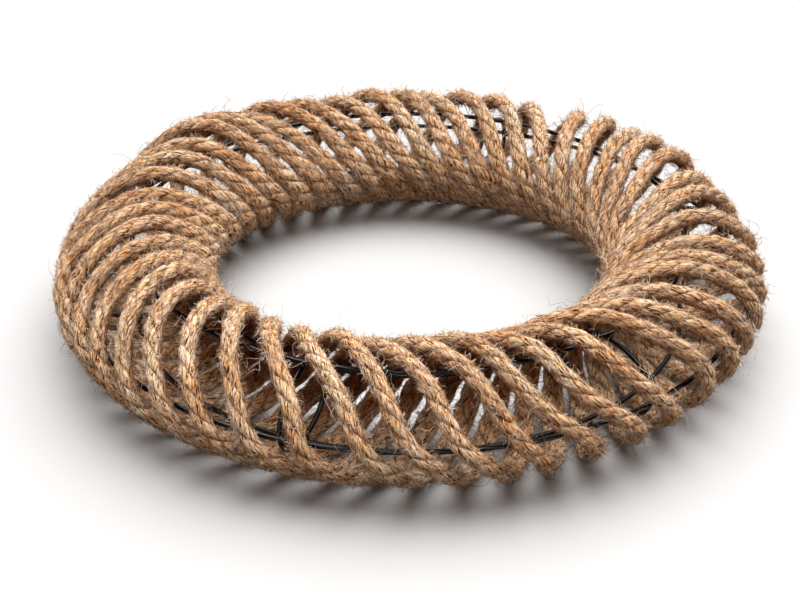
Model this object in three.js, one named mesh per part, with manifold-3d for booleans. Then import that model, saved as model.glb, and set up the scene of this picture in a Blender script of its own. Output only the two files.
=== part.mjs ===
// A rope ring for birds to climb, chew and perch on: an open ring-shaped cage of black steel wire with jute
// rope wound round it, pass after pass, so that the turns lie side by side on the inner wall and stand apart
// on the outer wall. The ring lies flat on its rope. Its centre is over the origin, +Z is up, and -Y is the
// front. Lengths are millimetres.
import * as THREE from "three";
import { mergeVertices } from "three/addons/utils/BufferGeometryUtils.js";
import Module from "manifold-3d";

// Wire cage: four hoops round the ring, and cross rings inside them.
const ringRadius = 115; // of the circle that the section is carried round, and of the top and bottom hoops
const cageHalfWidth = 25; // from that circle out to the outer hoop and in to the inner one
const cageHalfHeight = 17.5; // from the cage's middle up to the top hoop and down to the bottom one
const wireDiameter = 2;
const crossRingCount = 6;
const firstCrossRing = THREE.MathUtils.degToRad(-110); // just left of the front

// Rope: its turns go up the inner wall, over the top and down the outer wall, and lean forward as they go.
const ropeDiameter = 8;
const ropeLengthCount = 2; // separate lengths, which meet end to end on the underside
const passes = 7; // how often the winding goes round the whole ring
const turnGap = 0.35; // the least that neighbouring turns are kept apart on the inner wall
const endGap = 0.5; // between the ends of two lengths
const bottomFlat = ropeDiameter / 10; // how deep the turns are pressed flat where the ring lies on them
const windingStart = THREE.MathUtils.degToRad(-114);
const tautness = 0.03; // how far the rope is drawn straight between the hoops, where 0 is a plain oval
const innerLean = 0.045; // how much more the turns run along the ring on the inner wall than over the top
const leanSwing = 0.025; // how much that grows on one side of the ring and shrinks on the other
const leanSide = THREE.MathUtils.degToRad(20); // the side where it is greatest
const unevenness = 0.23; // how far turns stray to and fro over the outer wall, as a share of their spacing
const unevenStep = THREE.MathUtils.degToRad(29); // from one turn's stray to the next turn's
const unevenPlace = THREE.MathUtils.degToRad(220); // how far round a turn from the underside they stray most
const looseness = 3; // the most that a turn is wound too slack to lie on the top hoop
const looseStep = THREE.MathUtils.degToRad(100); // from one turn's slackness to the next turn's
const humpHeight = 5; // how much further the turns stand off in two places, left and right of the back
const humpPlaces = [THREE.MathUtils.degToRad(142), THREE.MathUtils.degToRad(31)];
const humpSpread = THREE.MathUtils.degToRad(10);

const clearance = 0.3; // between pieces that touch

// Facets.
const hoopSteps = 60;
const crossRingSteps = 28;
const wireSides = 6;
const turnSteps = 12;
const ropeSides = 7;
const gapSteps = 48; // points on each turn at which the gap between turns is measured

// The rope's middle line lies outside the hoops. A taut turn touches all four of them.
const ropeRadius = ropeDiameter / 2;
const wireRadius = wireDiameter / 2;
const ropeOffset = wireRadius + clearance + ropeRadius;
const ropeHalfWidth = cageHalfWidth + ropeOffset;
const ropeHalfHeight = cageHalfHeight + ropeOffset;
const middleHeight = ropeHalfHeight + ropeRadius - bottomFlat;

const wire = new THREE.MeshStandardMaterial({ color: 0x17181b, roughness: 0.3, metalness: 0.85 });
const jute = new THREE.MeshStandardMaterial({ color: 0xb38d63, roughness: 0.95, metalness: 0 });

const wasm = await Module();
wasm.setup();

function solidOf(geometry) {
  const bare = geometry.clone();
  bare.deleteAttribute("normal");
  bare.deleteAttribute("uv");
  const merged = mergeVertices(bare);
  return new wasm.Manifold(
    new wasm.Mesh({
      numProp: 3,
      vertProperties: merged.getAttribute("position").array,
      triVerts: new Uint32Array(merged.index.array),
    }),
  );
}

function geometryOf(solid) {
  const { vertProperties, triVerts } = solid.getMesh();
  const geometry = new THREE.BufferGeometry();
  geometry.setAttribute("position", new THREE.BufferAttribute(vertProperties, 3));
  geometry.setIndex(new THREE.BufferAttribute(triVerts, 1));
  geometry.computeVertexNormals();
  return geometry;
}

function named(name, geometry, material) {
  const mesh = new THREE.Mesh(geometry, material);
  mesh.name = name;
  return mesh;
}

// One hoop of wire, level, that runs right round the ring.
function hoop(name, radius, height) {
  const mesh = named(name, new THREE.TorusGeometry(radius, wireRadius, wireSides, hoopSteps), wire);
  mesh.position.z = height;
  return mesh;
}

// The oval that a cross ring is bent to. It stands upright and fits inside the four hoops.
class CrossRingLine extends THREE.Curve {
  getPoint(t, target = new THREE.Vector3()) {
    const inset = wireDiameter + clearance;
    const angle = 2 * Math.PI * t;
    return target.set(
      ringRadius + (cageHalfWidth - inset) * Math.cos(angle),
      0,
      middleHeight + (cageHalfHeight - inset) * Math.sin(angle),
    );
  }
}

function crossRing(index) {
  const geometry = new THREE.TubeGeometry(new CrossRingLine(), crossRingSteps, wireRadius, wireSides, true);
  const mesh = named(`cross_ring_${index + 1}`, geometry, wire);
  mesh.rotation.z = firstCrossRing + (2 * Math.PI * index) / crossRingCount;
  return mesh;
}

function commonFactor(a, b) {
  return b === 0 ? a : commonFactor(b, a % b);
}

// How many turns fit side by side on the inner wall, where they are closest. The count shares no factor with
// the passes, so that every pass lays its turns between those of the others.
function turnsThatFit() {
  const innerRadius = ringRadius - ropeHalfWidth;
  const innerRise = ropeHalfHeight * (1 - 4 * tautness);
  let turns = Math.ceil((2 * Math.PI * innerRadius) / ropeDiameter);
  for (; turns > passes; turns -= 1) {
    const lean = Math.atan(((passes / turns + innerLean + leanSwing) * innerRadius) / innerRise);
    const apart = ((2 * Math.PI * innerRadius) / turns) * Math.cos(lean);
    if (apart >= ropeDiameter + turnGap && commonFactor(turns, passes) === 1) break;
  }
  return turns;
}

const turnCount = turnsThatFit();
const turnSpacing = (2 * Math.PI) / turnCount;
const turnAdvance = passes * turnSpacing;

// How far a turn stands off the top of the cage, at a place round the ring.
function slackAt(turn, angle) {
  let slack = looseness * (0.5 + 0.5 * Math.sin(looseStep * Math.floor(turn)));
  for (const place of humpPlaces) {
    slack += humpHeight * Math.exp((Math.cos(angle - place) - 1) / humpSpread ** 2);
  }
  return slack * Math.max(0, -Math.cos(2 * Math.PI * turn)) ** 2;
}

// The rope's middle line. A turn goes from the underside by the inner wall, the top and the outer wall.
function ropePoint(turn) {
  const wind = 2 * Math.PI * turn;
  const out = tautness * Math.sin(3 * wind) - (1 - tautness) * Math.sin(wind);
  const up = -tautness * Math.cos(3 * wind) - (1 - tautness) * Math.cos(wind);
  const advance = windingStart + turnAdvance * turn;
  const lean = -(innerLean + leanSwing * Math.cos(advance - leanSide)) * Math.cos(wind);
  const share = unevenness * Math.sin(unevenStep * Math.floor(turn));
  const stray = share * turnSpacing * Math.max(0, Math.cos(wind - unevenPlace)) ** 2;
  const angle = advance + lean + stray;
  const slack = slackAt(turn, angle);
  const radius = ringRadius + (ropeHalfWidth + slack) * out;
  return new THREE.Vector3(
    radius * Math.cos(angle),
    radius * Math.sin(angle),
    middleHeight + (ropeHalfHeight + slack) * up,
  );
}

// Directions at one place on the rope: along it, away from the middle of the section, and beside both.
function ropeDirections(turn) {
  const small = 0.25 / turnSteps;
  const along = ropePoint(turn + small).sub(ropePoint(turn - small)).normalize();
  const point = ropePoint(turn);
  const middle = point.clone().setZ(0).setLength(ringRadius).setZ(middleHeight);
  const away = point.clone().sub(middle);
  away.addScaledVector(along, -away.dot(along)).normalize();
  return { along, away, beside: along.clone().cross(away) };
}

// Corners of the rope's surface at one place, or straight on from it by some distance. One corner faces
// the cage, and a flat side faces outwards.
function ropeRing(turn, straightOn = 0) {
  const { along, away, beside } = ropeDirections(turn);
  const middle = ropePoint(turn).addScaledVector(along, straightOn);
  const corners = [];
  for (let side = 0; side < ropeSides; side += 1) {
    const angle = Math.PI + (2 * Math.PI * side) / ropeSides;
    const corner = middle.clone();
    corner.addScaledVector(away, ropeRadius * Math.cos(angle));
    corner.addScaledVector(beside, ropeRadius * Math.sin(angle));
    corners.push(...corner.toArray());
  }
  return corners;
}

// One unbroken tube from one turn number to another. Each end runs straight for a rope's diameter, so that it
// meets the end of the next length squarely.
function ropeTube(fromTurn, toTurn) {
  const rings = [ropeRing(fromTurn), ropeRing(fromTurn, ropeDiameter)];
  for (let step = Math.ceil(fromTurn * turnSteps); step < toTurn * turnSteps; step += 1) {
    rings.push(ropeRing(step / turnSteps));
  }
  rings.push(ropeRing(toTurn, -ropeDiameter), ropeRing(toTurn));
  const faces = [];
  for (let ring = 0; ring < rings.length - 1; ring += 1) {
    for (let side = 0; side < ropeSides; side += 1) {
      const next = (side + 1) % ropeSides;
      const here = ring * ropeSides;
      const there = here + ropeSides;
      faces.push(here + side, here + next, there + next);
      faces.push(here + side, there + next, there + side);
    }
  }
  const last = (rings.length - 1) * ropeSides;
  for (let side = 1; side < ropeSides - 1; side += 1) {
    faces.push(0, side + 1, side);
    faces.push(last, last + side, last + side + 1);
  }
  const geometry = new THREE.BufferGeometry();
  geometry.setAttribute("position", new THREE.Float32BufferAttribute(rings.flat(), 3));
  geometry.setIndex(faces);
  return geometry;
}

// What lies below the surface that the ring lies on.
function belowGround() {
  const reach = 2 * (ringRadius + ropeHalfWidth + ropeDiameter);
  return new THREE.BoxGeometry(reach, reach, ropeDiameter).translate(0, 0, -ropeRadius);
}

function ropeLength(index) {
  const turnLength = ropePoint(0).distanceTo(ropePoint(1 / turnSteps)) * turnSteps;
  const setBack = endGap / 2 / turnLength;
  const fromTurn = Math.round((turnCount * index) / ropeLengthCount) + setBack;
  const toTurn = Math.round((turnCount * (index + 1)) / ropeLengthCount) - setBack;
  const pressed = solidOf(ropeTube(fromTurn, toTurn)).subtract(solidOf(belowGround()));
  return named(`rope_${index + 1}`, geometryOf(pressed), jute);
}

// The winding's length, and the least gap between points on it that are half a turn or more apart along it.
// The winding ends where it began, so its points are a closed loop.
function measureWinding() {
  const points = [];
  for (let step = 0; step < turnCount * gapSteps; step += 1) points.push(ropePoint(step / gapSteps));
  const halfTurn = gapSteps / 2;
  let length = 0;
  let least = Infinity;
  points.forEach((point, place) => {
    length += point.distanceTo(points[(place + 1) % points.length]);
    const end = Math.min(points.length, place + points.length - halfTurn);
    for (let other = place + halfTurn; other < end; other += 1) {
      least = Math.min(least, point.distanceTo(points[other]));
    }
  });
  return { length, gap: least - ropeDiameter };
}

const ring = new THREE.Group();
ring.add(hoop("hoop_outer", ringRadius + cageHalfWidth, middleHeight));
ring.add(hoop("hoop_inner", ringRadius - cageHalfWidth, middleHeight));
ring.add(hoop("hoop_top", ringRadius, middleHeight + cageHalfHeight));
ring.add(hoop("hoop_bottom", ringRadius, middleHeight - cageHalfHeight));
for (let index = 0; index < crossRingCount; index += 1) ring.add(crossRing(index));
for (let index = 0; index < ropeLengthCount; index += 1) ring.add(ropeLength(index));

const winding = measureWinding();
console.log(`${turnCount} turns, ${(winding.length / 1000).toFixed(2)} m of rope in all`);
console.log(`least gap between turns of rope: ${winding.gap.toFixed(2)} mm`);

export default ring;
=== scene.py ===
# Rope ring for birds: hairy jute rope wound round an open cage of black wire.
# Metres, +Z up, the front of the photograph towards -Y. The rope's route is the one of the solids.
import math

import bpy
import numpy as np
from mathutils import Matrix, Vector


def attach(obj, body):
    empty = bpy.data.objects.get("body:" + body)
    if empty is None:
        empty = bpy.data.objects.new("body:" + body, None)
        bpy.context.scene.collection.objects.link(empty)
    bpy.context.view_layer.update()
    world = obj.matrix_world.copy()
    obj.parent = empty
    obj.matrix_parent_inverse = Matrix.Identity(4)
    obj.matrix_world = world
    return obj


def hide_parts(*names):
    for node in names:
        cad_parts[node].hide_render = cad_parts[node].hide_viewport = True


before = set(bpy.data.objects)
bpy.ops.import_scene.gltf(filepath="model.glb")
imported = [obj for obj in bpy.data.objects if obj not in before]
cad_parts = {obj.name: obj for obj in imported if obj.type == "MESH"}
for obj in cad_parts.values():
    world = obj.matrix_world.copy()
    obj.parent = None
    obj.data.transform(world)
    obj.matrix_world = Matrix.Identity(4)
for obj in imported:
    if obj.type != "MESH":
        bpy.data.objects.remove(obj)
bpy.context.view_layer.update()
mm = 0.001
print("frame:", len(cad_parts), "nodes")


def linear(hexColour):
    channels = [int(hexColour[i:i + 2], 16) / 255 for i in (1, 3, 5)]
    return tuple(c / 12.92 if c <= 0.04045 else ((c + 0.055) / 1.055) ** 2.4 for c in channels) + (1.0,)


def addNode(tree, kind, inputs=None, **settings):
    node = tree.nodes.new(kind)
    for name, value in settings.items():
        setattr(node, name, value)
    for name, value in (inputs or {}).items():
        if isinstance(value, bpy.types.NodeSocket):
            tree.links.new(value, node.inputs[name])
        else:
            node.inputs[name].default_value = value
    return node


def newMaterial(name):
    material = bpy.data.materials.new(name)
    material.use_nodes = True
    tree = material.node_tree
    tree.nodes.clear()
    return material, tree


def setRamp(node, stops):
    ramp = node.color_ramp
    while len(ramp.elements) < len(stops):
        ramp.elements.new(0.5)
    for element, (place, hexColour) in zip(ramp.elements, stops):
        element.position = place
        element.color = linear(hexColour)


# Camera, at the height and distance that the ring's outline in the photograph gives
camera = {
    "elevation": 30.02,      # degrees
    "distance": 715.2 * mm,  # to the ring's centre on the floor
    "aside": -4.1 * mm,
    "raised": 5.8 * mm,
    "focalPixels": 1656.4,   # for an image 800 pixels wide
    "imagePixels": 800,
    "sensor": 36.0,
}


def makeCamera():
    data = bpy.data.cameras.new("camera")
    data.sensor_fit = "HORIZONTAL"
    data.sensor_width = camera["sensor"]
    data.lens = camera["sensor"] * camera["focalPixels"] / camera["imagePixels"]
    eye = bpy.data.objects.new("camera", data)
    bpy.context.scene.collection.objects.link(eye)
    tilt = math.radians(camera["elevation"])
    back = Vector((0, -math.cos(tilt), math.sin(tilt)))
    up = Vector((0, math.sin(tilt), math.cos(tilt)))
    eye.location = camera["distance"] * back + camera["aside"] * Vector((1, 0, 0)) + camera["raised"] * up
    eye.rotation_euler = (math.pi / 2 - tilt, 0, 0)
    bpy.context.scene.camera = eye


# Floor and light: a white table under wide soft light from overhead and a little behind
studio = {
    "floorSize": 8.0,
    "floorSeen": 0.58,       # shows as white where nothing shades it
    "floorBounce": 0.15,     # how much of the light it sends back up
    "skyStrength": 0.06,     # weak light all round, warm as it comes back off the rope
    "skyColour": "#ffa860",
    # Lamps: degrees across, and degrees from overhead towards the back and the right
    "softbox": {"strength": 2.75, "angle": 85, "lean": (14, 7)},  # shadows with wide soft edges
    "spot": {"strength": 2.85, "angle": 70, "lean": (15, 7)},     # a brighter middle to it
    "front": {"strength": 0.2, "angle": 5, "lean": (-60, -6)},    # glints on the wire
}


# 1 where the camera, a reflection or glass looks, and 0 for light on its way to the object
def shownRays(tree):
    path = addNode(tree, "ShaderNodeLightPath")
    seen = addNode(tree, "ShaderNodeMath", {
        0: path.outputs["Is Camera Ray"], 1: path.outputs["Is Glossy Ray"]}, operation="MAXIMUM")
    shown = addNode(tree, "ShaderNodeMath", {
        0: seen.outputs[0], 1: path.outputs["Is Transmission Ray"]}, operation="MAXIMUM")
    return shown.outputs[0]


def makeStudio():
    bpy.ops.mesh.primitive_plane_add(size=studio["floorSize"])
    floor = bpy.context.object
    floor.name = "floor"
    material, tree = newMaterial("whiteTable")
    level = addNode(tree, "ShaderNodeMapRange", {
        "Value": shownRays(tree), "To Min": studio["floorBounce"], "To Max": studio["floorSeen"]})
    diffuse = addNode(tree, "ShaderNodeBsdfDiffuse", {"Color": level.outputs[0]})
    addNode(tree, "ShaderNodeOutputMaterial", {"Surface": diffuse.outputs[0]})
    floor.data.materials.append(material)

    world = bpy.data.worlds.new("studio")
    bpy.context.scene.world = world
    world.use_nodes = True
    tree = world.node_tree
    tree.nodes.clear()
    strength = addNode(tree, "ShaderNodeMapRange", {
        "Value": shownRays(tree), "To Min": studio["skyStrength"], "To Max": 1.0})
    tone = addNode(tree, "ShaderNodeMix", {
        "Factor": shownRays(tree), 6: linear(studio["skyColour"]), 7: (1, 1, 1, 1)}, data_type="RGBA")
    sky = addNode(tree, "ShaderNodeBackground", {"Color": tone.outputs[2], "Strength": strength.outputs[0]})
    addNode(tree, "ShaderNodeOutputWorld", {"Surface": sky.outputs[0]})

    for name in ("softbox", "spot", "front"):
        lamp = bpy.data.lights.new(name, "SUN")
        lamp.energy = studio[name]["strength"]
        lamp.angle = math.radians(studio[name]["angle"])
        sun = bpy.data.objects.new(name, lamp)
        back, right = studio[name]["lean"]
        sun.rotation_euler = (math.radians(-back), math.radians(right), 0)
        bpy.context.scene.collection.objects.link(sun)
    bpy.context.scene.view_settings.view_transform = "Standard"


makeCamera()
makeStudio()
print("camera and studio made")

# Route of the rope: turns go up the inner wall, over the top and down the outer wall
winding = {
    "lengths": 2,
    "turns": 46,
    "passes": 7,
    "ringRadius": 115 * mm,
    "halfWidth": 30.3 * mm,
    "halfHeight": 22.8 * mm,
    "middleHeight": 26 * mm,
    "start": -114,           # degrees
    "tautness": 0.03,
    "innerLean": 0.045,
    "leanSwing": 0.025,
    "leanSide": 20,          # degrees
    "unevenness": 0.23,
    "unevenStep": 29,        # degrees
    "unevenPlace": 220,      # degrees
    "looseness": 3 * mm,
    "looseStep": 100,        # degrees
    "humpHeight": 5 * mm,
    "humpPlaces": (142, 31),  # degrees
    "humpSpread": 10,        # degrees
    "endGap": 0.5 * mm,
    "sway": 0.4 * mm,        # most that the soft rope leaves the solids' route, away from the cage
    "swayWaves": ((1.31, 1), (2.83, 0)),  # to a turn, and radians at the start
    "kink": 2.5 * mm,        # and sideways, on the outer wall
    "kinkWaves": ((2.17, 0), (3.61, 2)),
}


def waveSum(turn, waves):
    return sum(np.sin(2 * np.pi * perTurn * turn + start) for perTurn, start in waves)


# Middle line of the rope: a turn starts under the ring
def ropeLine(turn):
    wind = 2 * np.pi * turn
    taut = winding["tautness"]
    out = taut * np.sin(3 * wind) - (1 - taut) * np.sin(wind)
    up = -taut * np.cos(3 * wind) - (1 - taut) * np.cos(wind)
    spacing = 2 * np.pi / winding["turns"]
    advance = np.radians(winding["start"]) + winding["passes"] * spacing * turn
    lean = winding["innerLean"] + winding["leanSwing"] * np.cos(advance - np.radians(winding["leanSide"]))
    stray = winding["unevenness"] * spacing * np.sin(np.radians(winding["unevenStep"]) * np.floor(turn))
    most = np.maximum(0, np.cos(wind - np.radians(winding["unevenPlace"]))) ** 2
    kink = winding["kink"] / winding["ringRadius"] * waveSum(turn, winding["kinkWaves"]) * (1 + out) / 4
    angle = advance - lean * np.cos(wind) + stray * most + kink
    slack = winding["looseness"] * (0.5 + 0.5 * np.sin(np.radians(winding["looseStep"]) * np.floor(turn)))
    for place in winding["humpPlaces"]:
        near = (np.cos(angle - np.radians(place)) - 1) / np.radians(winding["humpSpread"]) ** 2
        slack = slack + winding["humpHeight"] * np.exp(near)
    sway = winding["sway"] * (0.5 + 0.25 * waveSum(turn, winding["swayWaves"]))
    slack = slack * np.maximum(0, -np.cos(wind)) ** 2 + sway
    radius = winding["ringRadius"] + (winding["halfWidth"] + slack) * out
    height = winding["middleHeight"] + (winding["halfHeight"] + slack) * up
    return np.stack([radius * np.cos(angle), radius * np.sin(angle), height], axis=-1)


def unit(vectors):
    return vectors / np.linalg.norm(vectors, axis=-1, keepdims=True)


# The rope's place, and its directions onwards, away from the cage and sideways
def ropeFrame(turn):
    small = 0.002
    middle = ropeLine(turn)
    along = unit(ropeLine(turn + small) - ropeLine(turn - small))
    core = middle.copy()
    core[..., 2] = 0
    core = unit(core) * winding["ringRadius"]
    core[..., 2] = winding["middleHeight"]
    away = middle - core
    away = unit(away - along * np.sum(away * along, axis=-1, keepdims=True))
    return middle, along, away, np.cross(along, away)


# Three strands laid to the left round the rope's middle line, each pressed flat against the other two
lay = {
    "strands": 3,
    "length": 24 * mm,       # of one full twist
    "twistWander": 0.9,      # radians that the twist runs ahead or lags
    "twistWaves": (0.083, 0.13, 0.29),  # lengths of those waves, in metres
    "offset": 0.95 * mm,     # of a strand's middle from the rope's
    "strandRadius": 2.42 * mm,
    "sides": 16,
    "stepsPerTurn": 72,
    "lumps": 0.08,           # share of its radius that a strand swells and thins by
    "lumpWaves": (0.009, 0.017, 0.037, 0.083),
    "wander": 0.2 * mm,      # that a strand moves out of and into the rope
    "wanderWaves": (0.013, 0.029, 0.061),
    "flatUnder": 0.42,       # share that the soft rope spreads by under the ring
    "flatInner": 0.3,        # and where it is pulled tight round the hole
    "floorGap": 0.05 * mm,
    "mapStep": 20.0,         # between strands on the fibre map, in metres, more than a strand's length
    "bakeEdge": 0.04,        # share of a baked row that is left free at each side
    "seed": 5,
}


def slowNoise(rng, places, wavelengths):
    total = np.zeros_like(places)
    for wavelength in wavelengths:
        total += np.sin(2 * np.pi * places / wavelength + rng.uniform(0, 2 * np.pi))
    return total / len(wavelengths)


# Offsets from the rope's middle line, flattened towards the cage and spread sideways
def pressed(offset, turn, away, beside):
    wind = 2 * np.pi * turn
    spread = (1 + lay["flatUnder"] * np.maximum(0, np.cos(wind)) ** 2
              + lay["flatInner"] * np.maximum(0, np.sin(wind)) ** 2)
    wider = (spread - 1)[..., None] * np.sum(offset * beside, axis=-1, keepdims=True)
    lower = (1 - spread ** -0.5)[..., None] * np.sum(offset * away, axis=-1, keepdims=True)
    return offset + wider * beside - lower * away


# Turn numbers at even steps on one length, how far along it they are, and how far the lay has twisted there
def ropeTable(index):
    turns = winding["turns"] // winding["lengths"]
    setBack = winding["endGap"] / 2 / (2 * np.pi * winding["halfWidth"])
    steps = turns * lay["stepsPerTurn"] + 1
    turn = np.linspace(index * turns + setBack, (index + 1) * turns - setBack, steps)
    gone = np.concatenate([[0], np.cumsum(np.linalg.norm(np.diff(ropeLine(turn), axis=0), axis=1))])
    rng = np.random.default_rng(lay["seed"] + index)
    twist = lay["twistWander"] * slowNoise(rng, gone, lay["twistWaves"]) - 2 * np.pi * gone / lay["length"]
    return turn, gone, twist


def meshPiece(name, points, faces, material, node):
    mesh = bpy.data.meshes.new(name)
    mesh.from_pydata(points, [], faces)
    mesh.polygons.foreach_set("use_smooth", np.ones(len(mesh.polygons), bool))
    mesh.materials.append(material)
    mesh.update()
    piece = bpy.data.objects.new(name, mesh)
    bpy.context.scene.collection.objects.link(piece)
    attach(piece, "root")
    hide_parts(node)
    return piece


def setPaintedLightShare(piece, shares):
    layer = piece.data.attributes.new("outside", "FLOAT", "POINT")
    layer.data.foreach_set("value", np.ascontiguousarray(shares, dtype=np.float32).ravel())


def setMap(piece, name, corners):
    layer = piece.data.uv_layers.new(name=name)
    layer.uv.foreach_set("vector", np.ascontiguousarray(corners, dtype=np.float32).ravel())


# Jute: retted bast fibre, spun slack and laid three-strand. Dull straw-brown, streaked along its fibres
juteLook = {
    "fibreTurn": 45,                 # degrees that the fibres slant across a strand, against the lay
    "fibre": (5.5 * mm, 0.42 * mm),  # length and width of a streak, drawn coarse enough to show
    "bundle": (24 * mm, 1.3 * mm),
    "bundleShare": 0.2,
    "streaks": [(0.38, "#1e0b01"), (0.438, "#ac7238"), (0.495, "#f6d0a4"), (0.55, "#fff9ee")],
    "patch": 30 * mm,
    "patches": [(0.34, "#eac69e"), (0.50, "#ffe7ca"), (0.64, "#fff4e2")],
    "groove": (0.17, 0.29),          # where the shade between strands starts and is full, in girths
    # Painted shade between strands: how strong it is, and its colour
    "grooveShade": 0.6,
    "grooveShadeColour": "#3e1f0a",
    "relief": 0.7 * mm,
    "roughness": 0.8,
    "specular": 0.1,
    "paintedShadeTint": "#93622e",                # painted shade: tint multiplied onto the side that light hasn't reached
    "litFully": 0.6,                 # share of painted light that leaves none of the painted shade
    "litUnder": 0.75,                # painted light: a brighter patch low at the outer edge, where light comes in
    "litPlace": 22.5,                # degrees of the winding from there to the underside
}


# Share of painted light on the rope, from where its surface faces away from the cage (1) or towards it (-1),
# with a painted patch of light added low at the outer edge
def litShare(facing, turn):
    low = np.maximum(0, np.cos(2 * np.pi * turn + np.radians(juteLook["litPlace"]))) ** 2
    return 0.5 + 0.5 * facing + juteLook["litUnder"] * low


# Painted shade: the side towards the cage is tinted darker brown, less so where the share of painted light is
# higher
def paintedShade(tree, colour):
    outside = addNode(tree, "ShaderNodeAttribute", attribute_name="outside")
    paintedShadeAmount = addNode(tree, "ShaderNodeMapRange", {
        "Value": outside.outputs["Fac"], "From Max": juteLook["litFully"], "To Min": 1.0, "To Max": 0.0})
    brown = addNode(tree, "ShaderNodeMix", {
        "Factor": paintedShadeAmount.outputs[0], 6: colour, 7: linear(juteLook["paintedShadeTint"])},
        data_type="RGBA", blend_type="MULTIPLY")
    return brown.outputs[2]


def makeJute():
    material, tree = newMaterial("laidJute")
    uv = addNode(tree, "ShaderNodeUVMap", uv_map="strandMap")
    turn = (0, 0, math.radians(juteLook["fibreTurn"]))
    fine = addNode(tree, "ShaderNodeMapping", {
        "Vector": uv.outputs[0], "Rotation": turn, "Scale": (*juteLook["fibre"], 1)}, vector_type="TEXTURE")
    broad = addNode(tree, "ShaderNodeMapping", {
        "Vector": uv.outputs[0], "Rotation": turn, "Scale": (*juteLook["bundle"], 1)}, vector_type="TEXTURE")
    fibres = addNode(tree, "ShaderNodeTexNoise", {
        "Vector": fine.outputs[0], "Scale": 1.0, "Detail": 3.0, "Roughness": 0.7, "Distortion": 0.6},
        noise_dimensions="2D")
    bundles = addNode(tree, "ShaderNodeTexNoise", {
        "Vector": broad.outputs[0], "Scale": 1.0, "Detail": 2.0}, noise_dimensions="2D")
    yarn = addNode(tree, "ShaderNodeMix", {
        "Factor": juteLook["bundleShare"], 2: fibres.outputs[0], 3: bundles.outputs[0]}, data_type="FLOAT")
    streaks = addNode(tree, "ShaderNodeValToRGB", {"Fac": yarn.outputs[0]})
    setRamp(streaks, juteLook["streaks"])
    place = addNode(tree, "ShaderNodeTexCoord")
    patches = addNode(tree, "ShaderNodeTexNoise", {
        "Vector": place.outputs["Object"], "Scale": 1 / juteLook["patch"], "Detail": 3.0})
    tint = addNode(tree, "ShaderNodeValToRGB", {"Fac": patches.outputs[0]})
    setRamp(tint, juteLook["patches"])
    colour = addNode(tree, "ShaderNodeMix", {
        "Factor": 1.0, 6: streaks.outputs[0], 7: tint.outputs[0]}, data_type="RGBA", blend_type="MULTIPLY")
    # Painted shade deep in the grooves between strands, by how far round the strand a place is
    across = addNode(tree, "ShaderNodeSeparateXYZ", {0: uv.outputs[0]})
    girth = 2 * math.pi * lay["strandRadius"]
    grooveStart, grooveEnd = juteLook["groove"]
    side = addNode(tree, "ShaderNodeMath", {0: across.outputs[1], 1: girth / 2}, operation="SUBTRACT")
    away = addNode(tree, "ShaderNodeMath", {0: side.outputs[0]}, operation="ABSOLUTE")
    deep = addNode(tree, "ShaderNodeMapRange", {
        "Value": away.outputs[0], "From Min": grooveStart * girth, "From Max": grooveEnd * girth,
        "To Min": 0.0, "To Max": juteLook["grooveShade"]})
    shaded = addNode(tree, "ShaderNodeMix", {
        "Factor": deep.outputs[0], 6: colour.outputs[2], 7: linear(juteLook["grooveShadeColour"])},
        data_type="RGBA")
    # Painted shade on the side towards the cage
    withPaintedShade = paintedShade(tree, shaded.outputs[2])
    bump = addNode(tree, "ShaderNodeBump", {
        "Strength": 1.0, "Distance": juteLook["relief"], "Height": yarn.outputs[0]})
    skin = addNode(tree, "ShaderNodeBsdfPrincipled", {
        "Base Color": withPaintedShade, "Roughness": juteLook["roughness"], "Specular IOR Level": juteLook["specular"],
        "Normal": bump.outputs[0]})
    addNode(tree, "ShaderNodeOutputMaterial", {"Surface": skin.outputs[0]})
    return material


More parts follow.
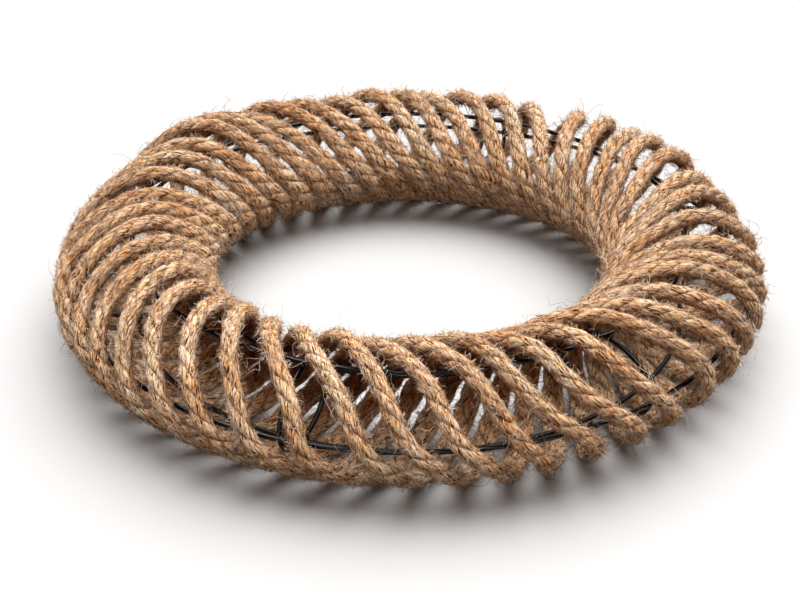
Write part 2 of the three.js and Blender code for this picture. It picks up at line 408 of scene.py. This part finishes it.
def makeStrand(index, strand, material):
    rng = np.random.default_rng(lay["seed"] + 10 * index + strand)
    turn, gone, twist = ropeTable(index)
    middle, along, away, beside = ropeFrame(turn)
    twist = twist + 2 * np.pi * strand / lay["strands"]
    swell = 1 + lay["lumps"] * slowNoise(rng, gone, lay["lumpWaves"])
    drift = lay["wander"] * slowNoise(rng, gone, lay["wanderWaves"])
    outward = np.cos(twist)[:, None] * away + np.sin(twist)[:, None] * beside
    sideways = np.cross(along, outward)
    sides = lay["sides"]
    # Round, but cut off by the two flats where it meets its neighbours
    angle = np.pi + 2 * np.pi * np.arange(sides) / sides
    flat = math.sqrt(3) * lay["offset"] / lay["strandRadius"]
    slope = np.abs(np.sin(angle)) - math.sqrt(3) * np.cos(angle)
    reach = np.where(slope > 0, np.minimum(1, flat / np.maximum(slope, 1e-6)), 1)
    radius = lay["strandRadius"] * swell[:, None] * reach[None, :]
    depth = lay["offset"] + drift[:, None] + radius * np.cos(angle)
    width = radius * np.sin(angle)
    offset = depth[..., None] * outward[:, None] + width[..., None] * sideways[:, None]
    points = middle[:, None] + pressed(offset, turn[:, None], away[:, None], beside[:, None])
    points[..., 2] = np.maximum(points[..., 2], lay["floorGap"])
    rings = len(turn)
    here = (np.arange(rings - 1)[:, None] * sides + np.arange(sides)).ravel()
    beyond = (np.arange(rings - 1)[:, None] * sides + (np.arange(sides) + 1) % sides).ravel()
    quads = np.stack([here, beyond, beyond + sides, here + sides], axis=1)
    last = (rings - 1) * sides
    caps = [list(range(sides - 1, -1, -1)), list(range(last, last + sides))]
    name = f"rope_{index + 1}_strand_{strand + 1}"
    piece = meshPiece(name, points.reshape(-1, 3), quads.tolist() + caps, material, f"rope_{index + 1}")
    # Share of painted light and shade at each point of the strand
    setPaintedLightShare(piece, litShare(np.sum(unit(offset) * away[:, None], axis=-1), turn[:, None]))
    # U runs along the strand and V round it, both in metres, with the seam towards the rope's middle
    girth = 2 * np.pi * lay["strandRadius"]
    mapStart = lay["mapStep"] * (lay["strands"] * index + strand)
    u = np.repeat(gone[:-1], sides) + mapStart
    uNext = np.repeat(gone[1:], sides) + mapStart
    v = np.tile(np.arange(sides) / sides * girth, rings - 1)
    vNext = v + girth / sides
    ends = np.zeros((2 * sides, 2))
    sheet = np.stack([u, v, u, vNext, uNext, vNext, uNext, v], axis=1).reshape(-1, 2)
    setMap(piece, "strandMap", np.concatenate([sheet, ends]))
    # For baking, each turn of the strand is one row
    rows = (rings - 1) // lay["stepsPerTurn"]
    row = np.repeat(np.arange(rings - 1) // lay["stepsPerTurn"], sides)
    step = np.repeat(np.arange(rings - 1) % lay["stepsPerTurn"], sides) / lay["stepsPerTurn"]
    edge = lay["bakeEdge"]
    low = (row + edge + (1 - 2 * edge) * v / girth) / rows
    high = (row + edge + (1 - 2 * edge) * vNext / girth) / rows
    stepNext = step + 1 / lay["stepsPerTurn"]
    sheet = np.stack([step, low, step, high, stepNext, high, stepNext, low], axis=1).reshape(-1, 2)
    setMap(piece, "OFBake", np.concatenate([sheet, ends]))


jute = makeJute()
for index in range(winding["lengths"]):
    for strand in range(lay["strands"]):
        makeStrand(index, strand, jute)
print("rope laid")

# Loose fibres: a nap that clings along the rope, short hairs that stand off it, and a few long curls
fuzz = {
    "nap": {"perMetre": 6200, "pieces": 3, "length": (4 * mm, 11 * mm), "radius": 0.1 * mm, "points": 3},
    "hair": {"perMetre": 7000, "pieces": 4, "length": (1.4 * mm, 4.6 * mm), "radius": 0.1 * mm, "points": 3,
             "waves": 0.9, "stand": (0.1, 1.1), "inside": 0.0},  # inside: share that faces the cage
    "curl": {"perMetre": 420, "pieces": 1, "length": (5 * mm, 15 * mm), "radius": 0.1 * mm, "points": 9,
             "waves": 1.6, "stand": (0.15, 0.6), "inside": 0.7},
    # How the nap lies
    "slant": 13,             # degrees to the rope, the same way as the lay
    "slantSpread": 22,       # degrees
    "slantRadius": 4 * mm,   # of the rope, for that slant
    "stray": 0.3,            # radians round the rope
    "napRoot": 0.15 * mm,    # depth in the rope
    "loft": (0.05 * mm, 0.4 * mm),
    "loftFull": 0.3125,      # share of a fibre's length at which it has risen to its loft
    "tip": 0.45 * mm,        # usual and greatest height of its end over that
    "tipMost": 2 * mm,
    # How hairs and curls stand
    "hairRoot": 0.2 * mm,
    "insideSpread": 0.8,     # radians round the rope
    "lieAlong": 0.7,         # lean along the rope and round it, beside the kind's own stand
    "lieRound": 0.5,
    "waveSpread": (0.4, 1.0),
    "waveWidth": 0.14,       # as a share of a hair's length
    "furthest": 2.2 * mm,    # that a hair's tip stands off the rope
    "furthestInside": 8 * mm,  # where it faces the cage
    # Every fibre
    "floorGap": 0.3 * mm,
    "thickness": (0.7, 1.5),
    "taper": 0.55,           # thickness at its end
    "bakeEdge": 0.1,         # share of a baked cell that is left free at each side
    "colours": [(0.0, "#1e0b01"), (0.18, "#8e5628"), (0.42, "#f2c89a"), (1.0, "#fffaf0")],
    "roughness": 0.6,
    "specular": 0.12,
    "seed": 40,
}


# Single jute fibres: the same bast, pale and a little shinier than the yarn, some of them dark bark
def makeFibre():
    material, tree = newMaterial("looseJuteFibre")
    uv = addNode(tree, "ShaderNodeUVMap", uv_map="fibreMap")
    chosen = addNode(tree, "ShaderNodeTexWhiteNoise", {"Vector": uv.outputs[0]}, noise_dimensions="2D")
    colour = addNode(tree, "ShaderNodeValToRGB", {"Fac": chosen.outputs[0]})
    setRamp(colour, fuzz["colours"])
    # Painted shade on the side towards the cage, as on the yarn
    withPaintedShade = paintedShade(tree, colour.outputs[0])
    skin = addNode(tree, "ShaderNodeBsdfPrincipled", {
        "Base Color": withPaintedShade, "Roughness": fuzz["roughness"], "Specular IOR Level": fuzz["specular"]})
    addNode(tree, "ShaderNodeOutputMaterial", {"Surface": skin.outputs[0]})
    return material


# The rope's outside, at an angle round its middle line
def skinRadius(angle, twist):
    third = 2 * np.pi / lay["strands"]
    off = (angle - twist + third / 2) % third - third / 2
    inner = lay["offset"]
    return inner * np.cos(off) + np.sqrt(lay["strandRadius"] ** 2 - (inner * np.sin(off)) ** 2)


def onRope(table, gone, angle, lift):
    turn = np.interp(gone, table[1], table[0])
    middle, along, away, beside = ropeFrame(turn)
    out = np.cos(angle)[..., None] * away + np.sin(angle)[..., None] * beside
    radius = skinRadius(angle, np.interp(gone, table[1], table[2])) + lift
    return middle + pressed(radius[..., None] * out, turn, away, beside), along, out


def napPaths(rng, table, count, kind):
    share = np.linspace(0, 1, kind["points"])[None, :]
    length = rng.uniform(*kind["length"], (count, 1))
    heading = rng.choice([-1, 1], (count, 1))
    ahead = heading * length * share
    gone = rng.uniform(0, table[1][-1], (count, 1)) + ahead
    slant = np.radians(fuzz["slant"] + rng.normal(0, fuzz["slantSpread"], (count, 1)))
    angle = rng.uniform(0, 2 * np.pi, (count, 1)) - ahead * np.tan(slant) / fuzz["slantRadius"]
    angle = angle + rng.normal(0, fuzz["stray"], angle.shape)
    tip = np.minimum(rng.exponential(fuzz["tip"], (count, 1)), fuzz["tipMost"])
    rise = rng.uniform(*fuzz["loft"], (count, 1))
    risen = np.sin(np.pi / 2 * np.minimum(share / fuzz["loftFull"], 1))
    lift = -fuzz["napRoot"] + rise * risen + tip * share ** 3
    paths, _, out = onRope(table, np.clip(gone, 0, table[1][-1]), angle, lift)
    turn = np.interp(gone[:, 0], table[1], table[0])
    return paths, out[:, 0], litShare(np.cos(np.mean(angle, axis=1)), turn)


def hairPaths(rng, table, count, kind):
    share = np.linspace(0, 1, kind["points"])[None, :, None]
    length = rng.uniform(*kind["length"], (count, 1, 1))
    gone = rng.uniform(0, table[1][-1], count)
    inside = rng.random(count) < kind["inside"]
    towardsCage = np.pi + rng.normal(0, fuzz["insideSpread"], count)
    angle = np.where(inside, towardsCage, rng.uniform(0, 2 * np.pi, count))
    root, along, out = onRope(table, gone, angle, np.full(count, -fuzz["hairRoot"]))
    around = np.cross(along, out)
    heading = unit(rng.uniform(*kind["stand"], (count, 1)) * out
                   + rng.normal(0, fuzz["lieAlong"], (count, 1)) * along
                   + rng.normal(0, fuzz["lieRound"], (count, 1)) * around)[:, None]
    bend = unit(rng.normal(0, 1, (count, 3)))[:, None]
    other = unit(np.cross(bend, heading))
    phase = rng.uniform(0, 2 * np.pi, (count, 1, 1))
    waves = rng.uniform(*fuzz["waveSpread"], (count, 1, 1)) * kind["waves"]
    loop = np.sin(2 * np.pi * waves * share + phase) - np.sin(phase)
    roll = np.cos(2 * np.pi * waves * share + phase) - np.cos(phase)
    grown = length * (share * heading + fuzz["waveWidth"] * (loop * bend + roll * other))
    most = np.where(inside, fuzz["furthestInside"], fuzz["furthest"])[:, None, None]
    over = np.maximum(0, np.sum(grown * out[:, None], axis=-1, keepdims=True) - most)
    turn = np.interp(gone, table[1], table[0])
    return root[:, None] + grown - over * out[:, None], out, litShare(np.cos(angle), turn)


# Closed three-sided tubes along the paths, each running out to a point
def makeFibres(name, rng, paths, outs, outside, radius, material, node):
    count, points = paths.shape[:2]
    paths[..., 2] = np.maximum(paths[..., 2], fuzz["floorGap"])
    ahead = unit(np.gradient(paths, axis=1))
    nudge = 0.01             # so that a fibre which stands straight out has a side too
    first = unit(np.cross(ahead, outs[:, None] + nudge))
    second = np.cross(ahead, first)
    taper = np.linspace(1.0, fuzz["taper"], points)[None, :]
    thick = radius * rng.uniform(*fuzz["thickness"], (count, 1)) * taper
    sides = 3
    turns = 2 * np.pi * np.arange(sides) / sides
    ring = np.cos(turns)[:, None] * first[:, :-1, None] + np.sin(turns)[:, None] * second[:, :-1, None]
    tubes = paths[:, :-1, None] + thick[:, :-1, None, None] * ring
    verts = np.concatenate([tubes.reshape(count, -1, 3), paths[:, -1:]], axis=1)
    each = verts.shape[1]
    rings = points - 1
    spans = [(k, j) for k in range(rings - 1) for j in range(sides)]
    quads = [[sides * k + j, sides * k + (j + 1) % sides,
              sides * (k + 1) + (j + 1) % sides, sides * (k + 1) + j] for k, j in spans]
    top = each - 1 - sides
    tips = [[top + j, top + (j + 1) % sides, each - 1] for j in range(sides)] + [[0, 2, 1]]
    start = (each * np.arange(count))[:, None, None]
    faces = (start + np.array(quads)).reshape(-1, 4).tolist()
    faces += (start + np.array(tips)).reshape(-1, 3).tolist()
    piece = meshPiece(name, verts.reshape(-1, 3), faces, material, node)
    # Share of painted light and shade, the same along each fibre
    setPaintedLightShare(piece, np.repeat(outside, each))
    # One place on the map for each fibre, which gives it its colour
    quadCorners, tipCorners = 4 * len(quads), 3 * len(tips)
    pick = np.concatenate([np.repeat(np.arange(count), quadCorners), np.repeat(np.arange(count), tipCorners)])
    setMap(piece, "fibreMap", np.stack([pick + 0.5, np.full(len(pick), 0.5)], axis=1))
    # For baking, each fibre has a cell of its own
    flat = [[k / rings, j / sides, k / rings, (j + 1) / sides,
             (k + 1) / rings, (j + 1) / sides, (k + 1) / rings, j / sides] for k, j in spans]
    lastRing = 1 - 1 / rings
    ends = [[lastRing, j / sides, lastRing, (j + 1) / sides, 1, (j + 0.5) / sides] for j in range(sides)]
    ends.append([0, 0, 0, 1, 0.05, 0.5])  # the root
    cells = math.ceil(math.sqrt(count))
    local = np.concatenate([np.tile(np.array(flat).reshape(-1, 2), (count, 1)),
                            np.tile(np.array(ends).reshape(-1, 2), (count, 1))])
    cell = np.stack([pick % cells, pick // cells], axis=1)
    edge = fuzz["bakeEdge"]
    setMap(piece, "OFBake", (cell + edge + (1 - 2 * edge) * local) / cells)


fibre = makeFibre()
for index in range(winding["lengths"]):
    table = ropeTable(index)
    rng = np.random.default_rng(fuzz["seed"] + index)
    for word in ("nap", "hair", "curl"):
        kind = fuzz[word]
        grow = napPaths if word == "nap" else hairPaths
        count = round(kind["perMetre"] * table[1][-1] / kind["pieces"])
        for part in range(kind["pieces"]):
            paths, outs, outside = grow(rng, table, count, kind)
            name = f"rope_{index + 1}_{word}_{part + 1}"
            makeFibres(name, rng, paths, outs, outside, kind["radius"], fibre, f"rope_{index + 1}")
print("loose fibres added")

# Wire cage: four hoops round the ring and six oval cross rings inside them, welded where they cross
cage = {
    "wireRadius": 1 * mm,
    "wireSmooth": 4,         # bevel resolution, which gives the wire twelve sides
    "loopSmooth": 40,        # steps in a quarter of a loop
    "ringRadius": 115 * mm,
    "halfWidth": 25 * mm,
    "halfHeight": 17.5 * mm,
    "middleHeight": 26 * mm,
    "inset": 2.3 * mm,       # of the cross rings within the hoops
    "crossRings": 6,
    "first": -110,           # degrees
    "weld": (1.7 * mm, 1.0 * mm),  # half the width and half the depth of a nugget
}

# Black stove enamel: glossy, a little uneven where it ran before it set
enamel = {
    "colour": "#020203",
    "runs": 2.5 * mm,
    "runDepth": 0.12 * mm,
    "runStrength": 0.6,
    "roughness": (0.04, 0.14),
    "specular": 0.25,
}


def makeEnamel():
    material, tree = newMaterial("blackEnamel")
    place = addNode(tree, "ShaderNodeTexCoord")
    runs = addNode(tree, "ShaderNodeTexNoise", {
        "Vector": place.outputs["Object"], "Scale": 1 / enamel["runs"], "Detail": 2.0})
    smoothest, roughest = enamel["roughness"]
    gloss = addNode(tree, "ShaderNodeMapRange", {
        "Value": runs.outputs[0], "To Min": smoothest, "To Max": roughest})
    bump = addNode(tree, "ShaderNodeBump", {
        "Strength": enamel["runStrength"], "Distance": enamel["runDepth"], "Height": runs.outputs[0]})
    skin = addNode(tree, "ShaderNodeBsdfPrincipled", {
        "Base Color": linear(enamel["colour"]), "Roughness": gloss.outputs[0],
        "Specular IOR Level": enamel["specular"], "Normal": bump.outputs[0]})
    addNode(tree, "ShaderNodeOutputMaterial", {"Surface": skin.outputs[0]})
    return material


def wireLoop(halfWidth, halfHeight, place):
    bpy.ops.curve.primitive_bezier_circle_add(radius=1)
    loop = bpy.context.object
    loop.data.transform(place @ Matrix.Diagonal((halfWidth, halfHeight, 1, 1)))
    for knot in loop.data.splines[0].bezier_points:
        knot.radius = 1      # the wire's own thickness stays as it was
    loop.data.resolution_u = cage["loopSmooth"]
    loop.data.bevel_depth = cage["wireRadius"]
    loop.data.bevel_resolution = cage["wireSmooth"]
    bpy.ops.object.convert(target="MESH")
    bpy.ops.object.shade_smooth()
    return bpy.context.object


def finishWire(piece, node, material):
    piece.name = f"{node}_wire"
    piece.data.materials.clear()
    piece.data.materials.append(material)
    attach(piece, "root")
    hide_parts(node)


def makeCage():
    paint = makeEnamel()
    middle, wide, high = cage["middleHeight"], cage["halfWidth"], cage["halfHeight"]
    hoops = {"outer": (cage["ringRadius"] + wide, middle), "inner": (cage["ringRadius"] - wide, middle),
             "top": (cage["ringRadius"], middle + high), "bottom": (cage["ringRadius"], middle - high)}
    for name, (radius, height) in hoops.items():
        finishWire(wireLoop(radius, radius, Matrix.Translation((0, 0, height))), f"hoop_{name}", paint)
    inset, weld = cage["inset"], cage["weld"]
    for index in range(cage["crossRings"]):
        turn = Matrix.Rotation(math.radians(cage["first"] + 360 * index / cage["crossRings"]), 4, "Z")
        upright = Matrix.Rotation(math.pi / 2, 4, "X")
        place = turn @ Matrix.Translation((cage["ringRadius"], 0, middle)) @ upright
        ring = wireLoop(wide - inset, high - inset, place)
        ring.select_set(True)
        for side in range(4):
            across, up = round(math.cos(side * math.pi / 2)), round(math.sin(side * math.pi / 2))
            bpy.ops.mesh.primitive_uv_sphere_add(segments=12, ring_count=8, radius=1)
            nugget = bpy.context.object
            reach = cage["ringRadius"] + across * (wide - inset / 2), middle + up * (high - inset / 2)
            flat = Matrix.Diagonal((weld[1] if across else weld[0], weld[0], weld[1] if up else weld[0], 1))
            nugget.data.transform(turn @ Matrix.Translation((reach[0], 0, reach[1])) @ flat)
            bpy.ops.object.shade_smooth()
            ring.select_set(True)
            bpy.context.view_layer.objects.active = ring
            bpy.ops.object.join()
        finishWire(ring, f"cross_ring_{index + 1}", paint)


makeCage()
print("cage made")
